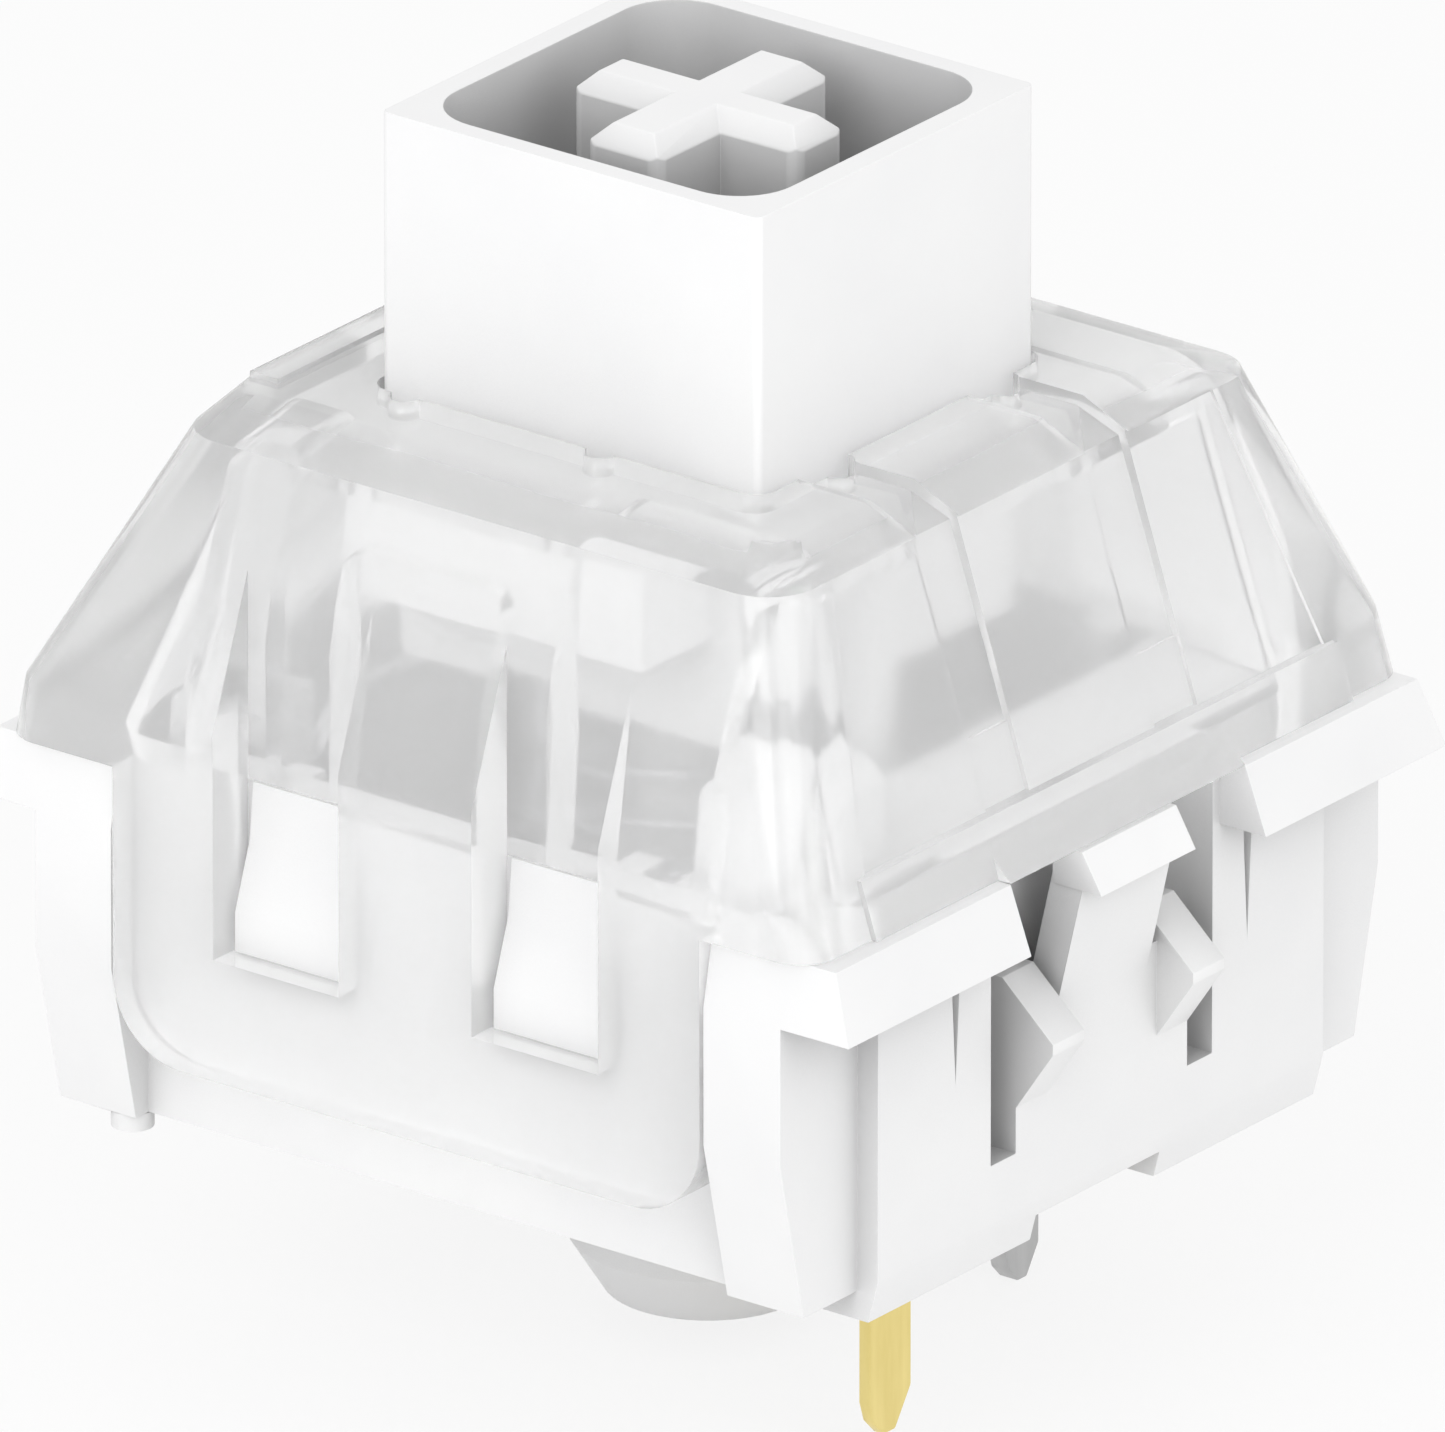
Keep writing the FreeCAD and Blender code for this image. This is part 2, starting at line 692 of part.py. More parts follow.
def make_stem():
    shroud = rounded_block(
        (-shroud_half_x, shroud_half_x), (-shroud_half_y, shroud_half_y), (spring_seat_z, stem_top_z),
        shroud_edge_round,
    )
    well_x = shroud_half_x - shroud_wall_x
    well_y = shroud_half_y - shroud_wall_y
    well = rounded_block(
        (-well_x, well_x), (-well_y, well_y), (shroud_floor_z, stem_top_z), shroud_corner_radius
    )
    shroud = shroud.cut(well)
    lower_body = block(
        (-stem_body_half_x, stem_body_half_x), (-stem_body_half_y, stem_body_half_y),
        (stem_body_foot_z, shoulder_top_z),
    )
    shoulder_x = side_face_x(cavity_roof_z) - shell_wall - cavity_draft - shoulder_gap
    shoulders = block(
        (-shoulder_x, shoulder_x), (-shoulder_half_y, shoulder_half_y),
        (shoulder_top_z - shoulder_height, shoulder_top_z),
    )
    spring_bore = rod(stem_bore_radius, stem_body_foot_z - 1, spring_seat_z)
    lower_body = lower_body.fuse(shoulders).cut(spring_bore)
    guide_pin = rod(guide_pin_radius, spring_seat_z - guide_pin_length, spring_seat_z + 0.5)
    return join(shroud, [lower_body, guide_pin, make_cross(), make_actuator_leg(), make_click_nose()])


def make_cross():
    """The keycap cross, bevelled all round its top, with rounded upright edges at its tips."""
    root_z = shroud_floor_z - 0.2
    top_z = stem_top_z + cross_rise
    half = cross_size / 2

    def bevelled_outline(half_length):
        return [
            (-half_length, root_z),
            (half_length, root_z),
            (half_length, top_z - cross_bevel),
            (half_length - cross_bevel, top_z),
            (-half_length + cross_bevel, top_z),
            (-half_length, top_z - cross_bevel),
        ]

    def bar(half_x, half_y):
        x_range = (-half_x, half_x)
        y_range = (-half_y, half_y)
        along_y = side_prism(bevelled_outline(half_y), x_range)
        along_x = front_prism(bevelled_outline(half_x), y_range)
        rounded = rounded_block(x_range, y_range, (root_z, top_z), cross_corner_radius)
        return along_y.common(along_x).common(rounded)

    return bar(cross_bar_ns / 2, half).fuse(bar(half, cross_bar_ew / 2))


def ramp_y(height):
    """Face of the actuator leg's ramp, which moves the slider by slide_ratio."""
    return slider_nose_y - 0.03 + slide_ratio * (height - contact_z)


def make_actuator_leg():
    """Leg on the stem's N side with the shallow ramp that pushes the contact slider."""
    profile = [
        (ramp_y(contact_z) - leg_thickness, leg_foot_z),
        (ramp_y(leg_foot_z), leg_foot_z),
        (ramp_y(leg_top_z), leg_top_z),
        (ramp_y(contact_z) - leg_thickness, leg_top_z),
    ]
    return side_prism(profile, (contact_x - leg_half_width, contact_x + leg_half_width))


def make_click_nose():
    """Nose on the stem's S side that passes the click bar."""
    nose_y = click_bar_y + click_wire / 2 + fit_gap
    foot = stem_body_foot_z + 0.05
    top = foot + click_nose_height
    profile = [
        (-stem_body_half_y + 0.2, foot),
        (-stem_body_half_y, foot),
        (nose_y, foot + 0.6),
        (nose_y, foot + 0.8),
        (-stem_body_half_y, top),
        (-stem_body_half_y + 0.2, top),
    ]
    return side_prism(profile, (-click_nose_half, click_nose_half))


def make_return_spring():
    wire_radius = spring_wire / 2
    height = spring_seat_z - spring_foot_z - spring_wire - fit_gap
    helix = Part.makeHelix(height / spring_turns, height, spring_mean_radius)
    start = point(spring_mean_radius, 0, 0)
    section = Part.Wire([Part.makeCircle(wire_radius, start, point(0, 1, 0))])
    coil = Part.Wire(helix).makePipeShell([section], True, True)
    coil.translate(point(0, 0, spring_foot_z + wire_radius + fit_gap / 2))
    return coil


def make_click_bar():
    """Bent wire that clicks as the stem's nose passes."""
    inner_x = click_half - click_foot_length
    corners = [
        point(-inner_x, click_foot_y, click_foot_z),
        point(-click_half, click_foot_y, click_foot_z),
        point(-click_half, click_bar_y, click_bar_z),
        point(click_half, click_bar_y, click_bar_z),
        point(click_half, click_foot_y, click_foot_z),
        point(inner_x, click_foot_y, click_foot_z),
    ]
    return bent_wire(corners, click_bend_radius, click_wire)


def make_contact_cover():
    """Lid that closes the contact chamber, with a raised corner that has rounded upper edges."""
    x_half = cavity_half_x - fit_gap
    y_high = pocket_back_y - pocket_wall - fit_gap
    lid = block(
        (-x_half, x_half), (chamber_wall_y, y_high),
        (chamber_wall_top_z, chamber_wall_top_z + cover_thickness),
    )
    rise = plate_across_x(cover_rise_x, cover_rise_y, chamber_wall_top_z, cover_rise_top_z, 2 * small_round)
    return join(lid, [rise])


def make_contact_slider():
    nose = block(
        (contact_x - slider_half_x, contact_x + slider_half_x),
        (slider_nose_y, slider_collar_y),
        (contact_z - slider_half_z, contact_z + slider_half_z),
    )
    collar = block(
        (contact_x - slider_collar_half_x, contact_x + slider_collar_half_x),
        (slider_collar_y, slider_collar_y + slider_collar_thickness),
        (contact_z - slider_collar_half_z, contact_z + slider_collar_half_z),
    )
    tip = block(
        (contact_x - slider_tip_half, contact_x + slider_tip_half),
        (slider_collar_y, slider_tip_y),
        (contact_z - slider_half_z, contact_z + slider_half_z),
    )
    return join(nose, [collar, tip])


def make_contact_leaf():
    """Thin spring strip from the moving terminal to the slider."""
    return block(
        (leaf_fold_x - leaf_tail, leaf_end_x),
        (leaf_y, leaf_y + leaf_thickness),
        (contact_z - leaf_half_height, contact_z + leaf_half_height),
    )


def contact_button(front_y, length, radius):
    return Part.makeCylinder(radius, length, point(contact_x, front_y, contact_z), point(0, 1, 0))


def pin_outline(x, width, length, tip_height, top_z):
    """Outline of a solder pin with its blunt, rounded tip, seen from the N side."""
    half = width / 2
    shoulder_z = tip_height - length
    return [
        (x - half, top_z),
        (x - half, shoulder_z),
        (x - half * 0.25, -length),
        (x + half * 0.3, -length),
        (x + half * 0.8, shoulder_z - tip_height * 0.55),
        (x + half, shoulder_z),
        (x + half, top_z),
    ]


def make_fixed_terminal():
    """Flat blade: solder pin below the floor and contact plate in the chamber."""
    plate_foot_z = floor_thickness + fit_gap
    y_range = (fixed_plate_y, fixed_plate_y + fixed_pin_thickness)
    outline = pin_outline(
        fixed_pin_x, fixed_pin_width, fixed_pin_length, fixed_pin_tip_height, plate_foot_z + 0.2
    )
    pin = front_prism(outline, y_range)
    plate_x = (fixed_plate_inner_x, fixed_pin_x + fixed_pin_width / 2 + fixed_plate_overhang)
    plate = block(plate_x, y_range, (plate_foot_z, terminal_top_z))
    return join(pin, [plate])


def make_moving_terminal():
    """Solder pin, a foot across the chamber's floor and the upright plate that holds the leaf."""
    foot_top_z = floor_thickness + moving_plate_thickness + fit_gap
    foot_range = (floor_thickness + fit_gap / 2, foot_top_z)
    half = moving_pin_width / 2
    pin_y = (moving_pin_y - moving_pin_thickness / 2, moving_pin_y + moving_pin_thickness / 2)
    plate_y = (moving_plate_y, moving_plate_y + moving_plate_thickness)
    outline = pin_outline(
        moving_pin_x, moving_pin_width, moving_pin_length, moving_pin_tip_height, foot_top_z
    )
    pin = front_prism(outline, pin_y)
    foot = block((moving_pin_x - half, moving_pin_x + half), (pin_y[0], plate_y[1]), foot_range)
    plate = block((moving_pin_x - half, moving_pin_x + half), plate_y, (foot_range[0], terminal_top_z))
    return join(pin, [foot, plate])


pieces = {
    "bottom_housing": make_bottom_housing(),
    "top_housing": make_top_housing(),
    "stem": make_stem(),
    "return_spring": make_return_spring(),
    "click_bar": make_click_bar(),
    "contact_cover": make_contact_cover(),
    "contact_slider": make_contact_slider(),
    "contact_leaf": make_contact_leaf(),
    "moving_contact": contact_button(leaf_y + leaf_thickness, contact_thickness, contact_radius),
    "fixed_contact": contact_button(
        leaf_y + leaf_thickness + contact_thickness + contact_gap,
        fixed_plate_y - (leaf_y + leaf_thickness + contact_thickness + contact_gap),
        contact_radius,
    ),
    "moving_terminal": make_moving_terminal(),
    "fixed_terminal": make_fixed_terminal(),
}

for name, shape in pieces.items():
    shape.exportStep("parts/" + name + ".step")
    box = shape.BoundBox
    print(name, "solids", len(shape.Solids), "valid", shape.isValid(), "volume", round(shape.Volume, 3),
          "z", round(box.ZMin, 3), round(box.ZMax, 3))
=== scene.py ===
import json
import math

import bmesh
import bpy
from mathutils import Matrix, Vector


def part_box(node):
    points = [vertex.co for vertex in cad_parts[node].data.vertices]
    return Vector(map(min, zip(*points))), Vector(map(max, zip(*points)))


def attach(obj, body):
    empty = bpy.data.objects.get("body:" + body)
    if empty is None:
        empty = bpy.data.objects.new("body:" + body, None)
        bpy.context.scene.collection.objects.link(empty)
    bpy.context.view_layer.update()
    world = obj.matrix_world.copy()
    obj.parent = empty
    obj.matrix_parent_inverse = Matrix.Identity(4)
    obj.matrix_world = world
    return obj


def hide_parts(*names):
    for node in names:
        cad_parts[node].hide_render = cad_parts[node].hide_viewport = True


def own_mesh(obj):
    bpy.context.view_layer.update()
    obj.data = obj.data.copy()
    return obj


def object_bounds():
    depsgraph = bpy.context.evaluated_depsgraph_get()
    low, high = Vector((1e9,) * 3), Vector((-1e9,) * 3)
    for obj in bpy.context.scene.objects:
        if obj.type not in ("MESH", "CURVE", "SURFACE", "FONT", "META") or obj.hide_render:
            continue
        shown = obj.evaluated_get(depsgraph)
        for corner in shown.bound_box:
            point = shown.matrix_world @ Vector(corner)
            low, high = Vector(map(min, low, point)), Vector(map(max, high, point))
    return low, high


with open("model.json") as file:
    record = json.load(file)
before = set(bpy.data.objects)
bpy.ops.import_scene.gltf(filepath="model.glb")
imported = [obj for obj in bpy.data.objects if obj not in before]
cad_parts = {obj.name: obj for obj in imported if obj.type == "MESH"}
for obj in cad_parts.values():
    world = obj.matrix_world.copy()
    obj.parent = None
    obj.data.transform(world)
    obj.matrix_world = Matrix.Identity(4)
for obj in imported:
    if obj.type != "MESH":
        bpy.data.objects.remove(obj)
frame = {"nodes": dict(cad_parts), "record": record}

# Lengths are in metres. MM turns a size in millimetres into metres.
MM = 0.001
CAD_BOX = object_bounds()

# The photograph's camera: where it stands, its scale and where the origin falls in its frame
FRAME_PIXELS = (1445, 1432)
ORIGIN_PIXEL = (708, 1094)
PIXELS_PER_MM = 70.7
CAMERA_AZIMUTH = math.radians(37.4)
CAMERA_ELEVATION = math.radians(22.5)
LENS_MM = 1500
SENSOR_MM = 36
CLIP_RANGE = (10 * MM, 3000 * MM)

# The studio: strengths of 1 are white. The floor shows this share of white and its own shade for the rest.
WORLD_LIGHT = 0.78
WHITE = 1.0
FLOOR_WHITE = 0.82
FLOOR_HALF_SIZE = 600 * MM
LAMP_TARGET = Vector((0, 0, 7 * MM))

# Noise hardly leaves this range, which is mapped onto the range of a colour or a value
NOISE_LOW = 0.3
NOISE_HIGH = 0.7

# Painted shade in hollows: the colour darkens where a facing wall lies within this reach, between these
# shares of open space
PAINTED_SHADE_REACH = 4 * MM
PAINTED_SHADE_CLOSED = 0.35
PAINTED_SHADE_OPEN = 0.95

# Depths of the surfaces' relief
GRAIN_DEPTH = 0.004 * MM
CLEAR_GRAIN_DEPTH = 0.002 * MM
LINE_DEPTH = 0.004 * MM

# How far the sheen of a plastic or metal strays from its roughness, smoother and rougher
PLASTIC_SHEEN = (-0.05, 0.06)
METAL_SHEEN = (-0.06, 0.08)

# Rounding of moulded and stamped edges
EDGE_ANGLE = math.radians(28)
EDGE_SEGMENTS = 2
HOUSING_EDGE = 0.05 * MM
STEM_EDGE = 0.09 * MM
CLEAR_EDGE = 0.07 * MM
METAL_EDGE = 0.03 * MM

# Points this close are one, and faces this nearly level with each other are one flat face
MERGE_DISTANCE = 1e-7
FLAT_ANGLE = math.radians(0.5)

# Air under the clear housing's seat, so that its foot doesn't coincide with the flange
SEAT_GAP = 0.01 * MM

# The return spring's wire, its turns, and the rise of a closed end turn in radii of the wire
WIRE_RADIUS = 0.12 * MM
COIL_CLEARANCE = 0.01 * MM
END_TURNS = 1.5
OPEN_TURNS = 9
END_TURN_RISE = 2.1
STEPS_PER_TURN = 32

# Plastics: dark and light colour, roughness, and how dark the painted shade in the deepest hollows gets
PLASTICS = {
    "housing_plastic": ((0.825, 0.825, 0.83), (0.87, 0.87, 0.87), 0.42, 0.6),
    "stem_plastic": ((0.845, 0.845, 0.85), (0.88, 0.88, 0.88), 0.40, 0.62),
    "cover_plastic": ((0.82, 0.82, 0.825), (0.87, 0.87, 0.87), 0.45, 0.6),
    "slider_plastic": ((0.30, 0.48, 0.33), (0.36, 0.55, 0.39), 0.40, 0.6),
}
# Metals: dark and light colour, roughness, scale of the fine lines and their stretch on each axis
METALS = {
    "spring_steel": ((0.62, 0.62, 0.64), (0.74, 0.74, 0.76), 0.26, 4000, (1, 1, 6)),
    "click_wire": ((0.74, 0.74, 0.75), (0.84, 0.84, 0.85), 0.26, 4000, (0.2, 1, 1)),
    "leaf_bronze": ((0.66, 0.47, 0.27), (0.80, 0.60, 0.38), 0.30, 4000, (0.2, 1, 1)),
    "contact_gold": ((0.82, 0.68, 0.36), (0.90, 0.78, 0.48), 0.24, 4000, (1, 1, 1)),
    "tinned_metal": ((0.44, 0.44, 0.44), (0.54, 0.54, 0.54), 0.36, 3500, (1, 1, 0.15)),
    "gold_plate": ((0.80, 0.65, 0.24), (0.90, 0.755, 0.315), 0.34, 3500, (1, 1, 0.15)),
}


def mix_shaders(nodes, links, share, first, second):
    """A shader that is the first one where the share is 0 and the second one where it is 1."""
    mix = nodes.new("ShaderNodeMixShader")
    links.new(share, mix.inputs["Fac"])
    links.new(first, mix.inputs[1])
    links.new(second, mix.inputs[2])
    return mix.outputs["Shader"]


def seen_directly(nodes, links):
    """1 where the camera, metal or glass sees a background, and 0 where it lights the object."""
    paths = nodes.new("ShaderNodeLightPath")
    seen = paths.outputs["Is Camera Ray"]
    for ray in ("Is Glossy Ray", "Is Transmission Ray"):
        either = nodes.new("ShaderNodeMath")
        either.operation = "MAXIMUM"
        links.new(seen, either.inputs[0])
        links.new(paths.outputs[ray], either.inputs[1])
        seen = either.outputs[0]
    return seen


class Material:
    """A node material with one Principled shader, and short calls that add to it."""

    def __init__(self, name):
        self.data = bpy.data.materials.new(name)
        self.data.use_nodes = True
        self.nodes = self.data.node_tree.nodes
        self.links = self.data.node_tree.links
        self.nodes.clear()
        self.output = self.nodes.new("ShaderNodeOutputMaterial")
        self.shader = self.nodes.new("ShaderNodeBsdfPrincipled")
        self.links.new(self.shader.outputs["BSDF"], self.output.inputs["Surface"])
        self.coordinates = self.nodes.new("ShaderNodeTexCoord").outputs["Object"]

    def set(self, **values):
        """Sets inputs of the shader to plain values. An underscore stands for a space in a name."""
        for name, value in values.items():
            self.shader.inputs[name.replace("_", " ")].default_value = value

    def noise(self, scale, detail, roughness=0.55, stretch=(1, 1, 1)):
        """Noise in the object's own space, stretched by a factor on each axis."""
        mapping = self.nodes.new("ShaderNodeMapping")
        mapping.inputs["Scale"].default_value = stretch
        self.links.new(self.coordinates, mapping.inputs["Vector"])
        noise = self.nodes.new("ShaderNodeTexNoise")
        noise.inputs["Scale"].default_value = scale
        noise.inputs["Detail"].default_value = detail
        noise.inputs["Roughness"].default_value = roughness
        self.links.new(mapping.outputs["Vector"], noise.inputs["Vector"])
        return noise.outputs["Fac"]

    def map_range(self, value, low, high, from_low=NOISE_LOW, from_high=NOISE_HIGH):
        """A value mapped from one range onto another."""
        node = self.nodes.new("ShaderNodeMapRange")
        node.inputs["From Min"].default_value = from_low
        node.inputs["From Max"].default_value = from_high
        node.inputs["To Min"].default_value = low
        node.inputs["To Max"].default_value = high
        self.links.new(value, node.inputs["Value"])
        return node.outputs["Result"]

    def tint(self, value, dark, light):
        """Base colour that varies from dark to light with a value."""
        ramp = self.nodes.new("ShaderNodeValToRGB")
        low, high = ramp.color_ramp.elements
        low.position, low.color = NOISE_LOW, (*dark, 1)
        high.position, high.color = NOISE_HIGH, (*light, 1)
        self.links.new(value, ramp.inputs["Fac"])
        self.links.new(ramp.outputs["Color"], self.shader.inputs["Base Color"])

    def vary_roughness(self, value, low, high):
        """Roughness that varies from low to high with a value."""
        self.links.new(self.map_range(value, low, high), self.shader.inputs["Roughness"])

    def paint_shade_in_hollows(self, deepest_painted_shade):
        """Paints shade into hollows: darkens the base colour where nearby walls close them in, down to a
        share of it in the most closed-in ones.
        """
        # Painted shade: ambient occlusion darkens the base colour in hollows, slots and creases, where
        # shade falls
        painted_shade_occlusion = self.nodes.new("ShaderNodeAmbientOcclusion")
        painted_shade_occlusion.only_local = True
        painted_shade_occlusion.samples = 3
        painted_shade_occlusion.inputs["Distance"].default_value = PAINTED_SHADE_REACH
        amount = self.map_range(painted_shade_occlusion.outputs["AO"], deepest_painted_shade, 1.0, PAINTED_SHADE_CLOSED, PAINTED_SHADE_OPEN)
        shade = self.nodes.new("ShaderNodeMix")
        shade.data_type = "RGBA"
        shade.blend_type = "MULTIPLY"
        shade.inputs["Factor"].default_value = 1.0
        base = self.shader.inputs["Base Color"].links[0].from_socket
        self.links.new(base, shade.inputs["A"])
        self.links.new(amount, shade.inputs["B"])
        self.links.new(shade.outputs["Result"], self.shader.inputs["Base Color"])

    def bump(self, height, distance, strength):
        """Fine relief of a given depth."""
        node = self.nodes.new("ShaderNodeBump")
        node.inputs["Distance"].default_value = distance
        node.inputs["Strength"].default_value = strength
        self.links.new(height, node.inputs["Height"])
        self.links.new(node.outputs["Normal"], self.shader.inputs["Normal"])

    def mix_in(self, share, other):
        """Shows another shader instead of the Principled one, by a share."""
        mixed = mix_shaders(self.nodes, self.links, share, self.shader.outputs["BSDF"], other)
        self.links.new(mixed, self.output.inputs["Surface"])

    def let_light_in(self, share):
        """Lets a share of the lamps' light straight through, so that what lies behind is lit."""
        through = self.nodes.new("ShaderNodeBsdfTransparent")
        through.inputs["Color"].default_value = (share, share, share, 1)
        paths = self.nodes.new("ShaderNodeLightPath")
        self.mix_in(paths.outputs["Is Shadow Ray"], through.outputs["BSDF"])

    def show_white(self, share):
        """Mixes plain white into what the camera, metal and glass see of a stage material."""
        amount = self.nodes.new("ShaderNodeMath")
        amount.operation = "MULTIPLY"
        amount.inputs[1].default_value = share
        self.links.new(seen_directly(self.nodes, self.links), amount.inputs[0])
        white = self.nodes.new("ShaderNodeEmission")
        white.inputs["Color"].default_value = (1, 1, 1, 1)
        self.mix_in(amount.outputs[0], white.outputs["Emission"])


def moulded_plastic(name, dark, light, roughness, deepest_painted_shade):
    """Satin moulding: faint cloudiness, spark-eroded grain, a slightly uneven sheen, and painted shade
    that darkens its hollows.
    """
    material = Material(name)
    clouds = material.noise(scale=260, detail=3)
    grain = material.noise(scale=9000, detail=2, roughness=0.6)
    material.tint(clouds, dark, light)
    # Painted shade: the base colour is darkened in hollows, slots and creases
    material.paint_shade_in_hollows(deepest_painted_shade)
    material.vary_roughness(clouds, *(roughness + change for change in PLASTIC_SHEEN))
    material.bump(grain, GRAIN_DEPTH, strength=0.5)
    material.set(Specular_IOR_Level=0.42)
    return material.data


def clear_plastic(name):
    """Frosted clear moulding: light passes and is scattered by the fine grain of its faces."""
    material = Material(name)
    clouds = material.noise(scale=180, detail=3)
    grain = material.noise(scale=7000, detail=2)
    material.tint(clouds, dark=(0.96, 0.96, 0.961), light=(0.98, 0.98, 0.981))
    material.vary_roughness(clouds, low=0.095, high=0.145)
    material.bump(grain, CLEAR_GRAIN_DEPTH, strength=0.2)
    material.set(Transmission_Weight=0.72, IOR=1.5)
    material.let_light_in(share=0.97)
    return material.data


def metal(name, dark, light, roughness, scale, stretch):
    """Drawn or rolled metal with fine lines along one axis."""
    material = Material(name)
    lines = material.noise(scale, detail=5, stretch=stretch)
    material.tint(lines, dark, light)
    material.vary_roughness(lines, *(roughness + change for change in METAL_SHEEN))
    material.bump(lines, LINE_DEPTH, strength=0.5)
    material.set(Metallic=1.0)
    return material.data


MATERIALS = {slot: moulded_plastic(slot, *look) for slot, look in PLASTICS.items()}
MATERIALS["clear_plastic"] = clear_plastic("clear_plastic")
MATERIALS.update({slot: metal(slot, *look) for slot, look in METALS.items()})
SLOT_OF = {part["node"]: part["material_slot"] for part in frame["record"]["subparts"]}
BODY_OF = {node: body for body, nodes in frame["record"]["behaviour"]["bodies"].items() for node in nodes}


def add_object(name, data):
    """A new object in the scene."""
    obj = bpy.data.objects.new(name, data)
    bpy.context.scene.collection.objects.link(obj)
    return obj


def evaluated_mesh(obj):
    """The mesh that an object's curve or modifiers give."""
    return bpy.data.meshes.new_from_object(obj.evaluated_get(bpy.context.evaluated_depsgraph_get()))


def apply_modifiers(piece):
    """Bakes the piece's modifiers into its mesh."""
    mesh = evaluated_mesh(piece)
    piece.modifiers.clear()
    piece.data = mesh


def shade_smooth(piece):
    """Smooth shading on every face."""
    for face in piece.data.polygons:
        face.use_smooth = True


def keep_sharp_edges(piece):
    """Marks the edges that are sharper than the rounding's angle, so that flat faces stay flat."""
    mesh = bmesh.new()
    mesh.from_mesh(piece.data)
    for edge in mesh.edges:
        if len(edge.link_faces) == 2:
            edge.smooth = edge.calc_face_angle(0) < EDGE_ANGLE
    mesh.to_mesh(piece.data)
    mesh.free()


def join_flat_faces(piece):
    """Turns the CAD node's triangles back into whole faces."""
    mesh = bmesh.new()
    mesh.from_mesh(piece.data)
    bmesh.ops.remove_doubles(mesh, verts=mesh.verts, dist=MERGE_DISTANCE)
    bmesh.ops.dissolve_limit(mesh, angle_limit=FLAT_ANGLE, verts=mesh.verts, edges=mesh.edges)
    mesh.to_mesh(piece.data)
    mesh.free()


def paint(piece, node):
    """Gives a piece the material of a CAD node."""
    slot = SLOT_OF[node]
    piece.data.materials.clear()
    piece.data.materials.append(MATERIALS[slot])


def stand_for(piece, node):
    """Gives a piece the material and body of the CAD node that it replaces."""
    paint(piece, node)
    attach(piece, BODY_OF[node])
    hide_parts(node)


def soften(node, width, lift=0.0):
    """A copy of a CAD node with its sharp edges rounded, which replaces the node."""
    piece = add_object(node + "_moulded", frame["nodes"][node].data.copy())
    piece.data.transform(Matrix.Translation((0, 0, lift)))
    join_flat_faces(piece)
    bevel = piece.modifiers.new("edges", "BEVEL")
    bevel.width = width
    bevel.segments = EDGE_SEGMENTS
    bevel.limit_method = "ANGLE"
    bevel.angle_limit = EDGE_ANGLE
    apply_modifiers(piece)
    shade_smooth(piece)
    keep_sharp_edges(piece)
    flatten = piece.modifiers.new("normals", "WEIGHTED_NORMAL")
    flatten.mode = "FACE_AREA"
    flatten.weight = 100
    flatten.keep_sharp = True
    apply_modifiers(piece)
    stand_for(piece, node)


def coil_height(turn, bottom, top):
    """Height of the coil's wire after a number of turns: closed end turns, then evenly open ones."""
    last_turn = OPEN_TURNS + 2 * END_TURNS
    end_rise = END_TURNS * END_TURN_RISE * WIRE_RADIUS
    if turn < END_TURNS:
        return bottom + end_rise * turn / END_TURNS
    if turn > last_turn - END_TURNS:
        return top - end_rise * (last_turn - turn) / END_TURNS
    share = (turn - END_TURNS) / OPEN_TURNS
    return bottom + end_rise + share * (top - bottom - 2 * end_rise)


def make_spring():
    """The return spring as a smooth coil with closed end turns."""
    low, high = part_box("return_spring")
    mean_radius = (high.x - low.x) / 2 - WIRE_RADIUS - COIL_CLEARANCE
    curve = bpy.data.curves.new("return_spring_coil", "CURVE")
    curve.dimensions = "3D"
    curve.bevel_depth = WIRE_RADIUS
    curve.bevel_resolution = 3
    curve.use_fill_caps = True
    spline = curve.splines.new("POLY")
    steps = int((OPEN_TURNS + 2 * END_TURNS) * STEPS_PER_TURN)
    spline.points.add(steps)
    for index, point in enumerate(spline.points):
        turn = index / STEPS_PER_TURN
        angle = 2 * math.pi * turn
        height = coil_height(turn, low.z + WIRE_RADIUS, high.z - WIRE_RADIUS)
        point.co = (mean_radius * math.cos(angle), mean_radius * math.sin(angle), height, 1)
    source = add_object("spring_source", curve)
    piece = add_object("return_spring_coil", evaluated_mesh(source))
    bpy.data.objects.remove(source)
    shade_smooth(piece)
    stand_for(piece, "return_spring")
    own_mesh(piece)


def make_floor():
    """A plain pale floor at the level of the lowest point, white to the camera with a soft shadow."""
    size, level = FLOOR_HALF_SIZE, CAD_BOX[0].z
    corners = [(-size, -size, level), (size, -size, level), (size, size, level), (-size, size, level)]
    mesh = bpy.data.meshes.new("floor")
    mesh.from_pydata(corners, [], [(0, 1, 2, 3)])
    floor = add_object("floor", mesh)
    material = Material("floor")
    grain = material.noise(scale=40, detail=2)
    material.tint(grain, dark=(0.86, 0.86, 0.86), light=(0.88, 0.88, 0.88))
    material.set(Roughness=0.9, Specular_IOR_Level=0.1)
    material.show_white(FLOOR_WHITE)
    floor.data.materials.append(material.data)


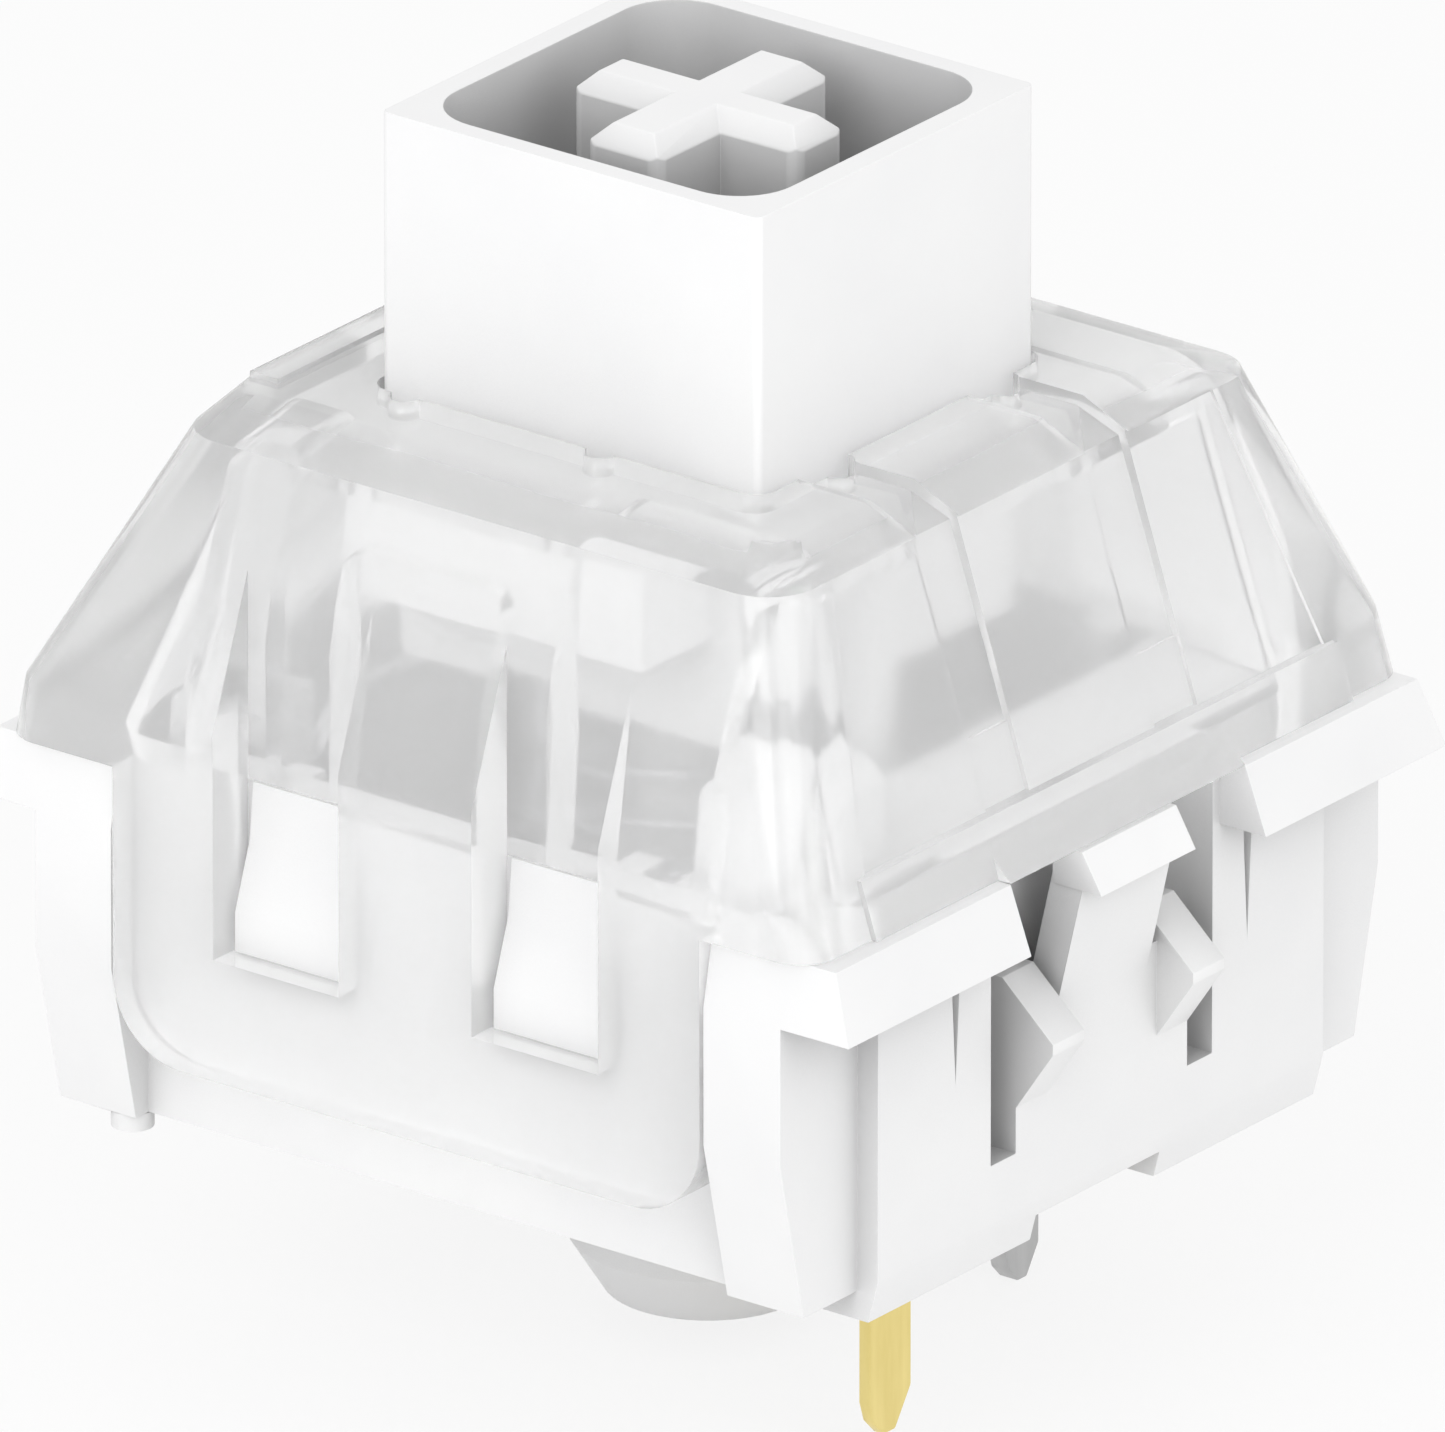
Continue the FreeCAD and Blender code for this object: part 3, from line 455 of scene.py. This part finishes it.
def make_world():
    """Even studio light all round, and plain white where it is seen or mirrored."""
    world = bpy.data.worlds.new("studio")
    world.use_nodes = True
    nodes, links = world.node_tree.nodes, world.node_tree.links
    nodes.clear()
    backgrounds = []
    for strength in (WORLD_LIGHT, WHITE):
        background = nodes.new("ShaderNodeBackground")
        background.inputs["Color"].default_value = (1, 1, 1, 1)
        background.inputs["Strength"].default_value = strength
        backgrounds.append(background.outputs["Background"])
    output = nodes.new("ShaderNodeOutputWorld")
    mixed = mix_shaders(nodes, links, seen_directly(nodes, links), *backgrounds)
    links.new(mixed, output.inputs["Surface"])
    bpy.context.scene.world = world


def make_lamp(name, place, size, power):
    """A square soft lamp that faces the middle of the object. Place and size are in mm, power in watts."""
    lamp = bpy.data.lights.new(name, "AREA")
    lamp.size = size * MM
    lamp.energy = power
    obj = add_object(name, lamp)
    obj.location = Vector(place) * MM
    obj.rotation_euler = (LAMP_TARGET - obj.location).to_track_quat("-Z", "Y").to_euler()


def make_camera():
    """The photograph's camera: far away behind a very long lens, so that it is nearly parallel."""
    cosine, sine = math.cos(CAMERA_AZIMUTH), math.sin(CAMERA_AZIMUTH)
    rise, level = math.sin(CAMERA_ELEVATION), math.cos(CAMERA_ELEVATION)
    back = Vector((cosine * level, sine * level, rise))
    right = Vector((-sine, cosine, 0))
    up = back.cross(right)
    across = (FRAME_PIXELS[0] / 2 - ORIGIN_PIXEL[0]) / PIXELS_PER_MM * MM
    above = (ORIGIN_PIXEL[1] - FRAME_PIXELS[1] / 2) / PIXELS_PER_MM * MM
    frame_width = FRAME_PIXELS[0] / PIXELS_PER_MM * MM
    distance = frame_width * LENS_MM / SENSOR_MM
    camera = bpy.data.cameras.new("camera")
    camera.lens = LENS_MM
    camera.sensor_width = SENSOR_MM
    camera.clip_start, camera.clip_end = CLIP_RANGE
    obj = add_object("camera", camera)
    obj.location = right * across + up * above + back * distance
    obj.rotation_euler = back.to_track_quat("Z", "Y").to_euler()
    bpy.context.scene.camera = obj


for node, obj in frame["nodes"].items():
    paint(obj, node)

soften("bottom_housing", HOUSING_EDGE)
soften("stem", STEM_EDGE)
soften("top_housing", CLEAR_EDGE, lift=SEAT_GAP)
for node in ("fixed_terminal", "moving_terminal"):
    soften(node, METAL_EDGE)
make_spring()

make_floor()
make_world()
make_lamp("key", place=(160, 20, 100), size=120, power=0.105)
make_lamp("fill", place=(60, 190, 90), size=160, power=0.11)
make_lamp("top", place=(-30, -20, 220), size=160, power=0.02)
make_camera()
bpy.context.scene.view_settings.view_transform = "Standard"
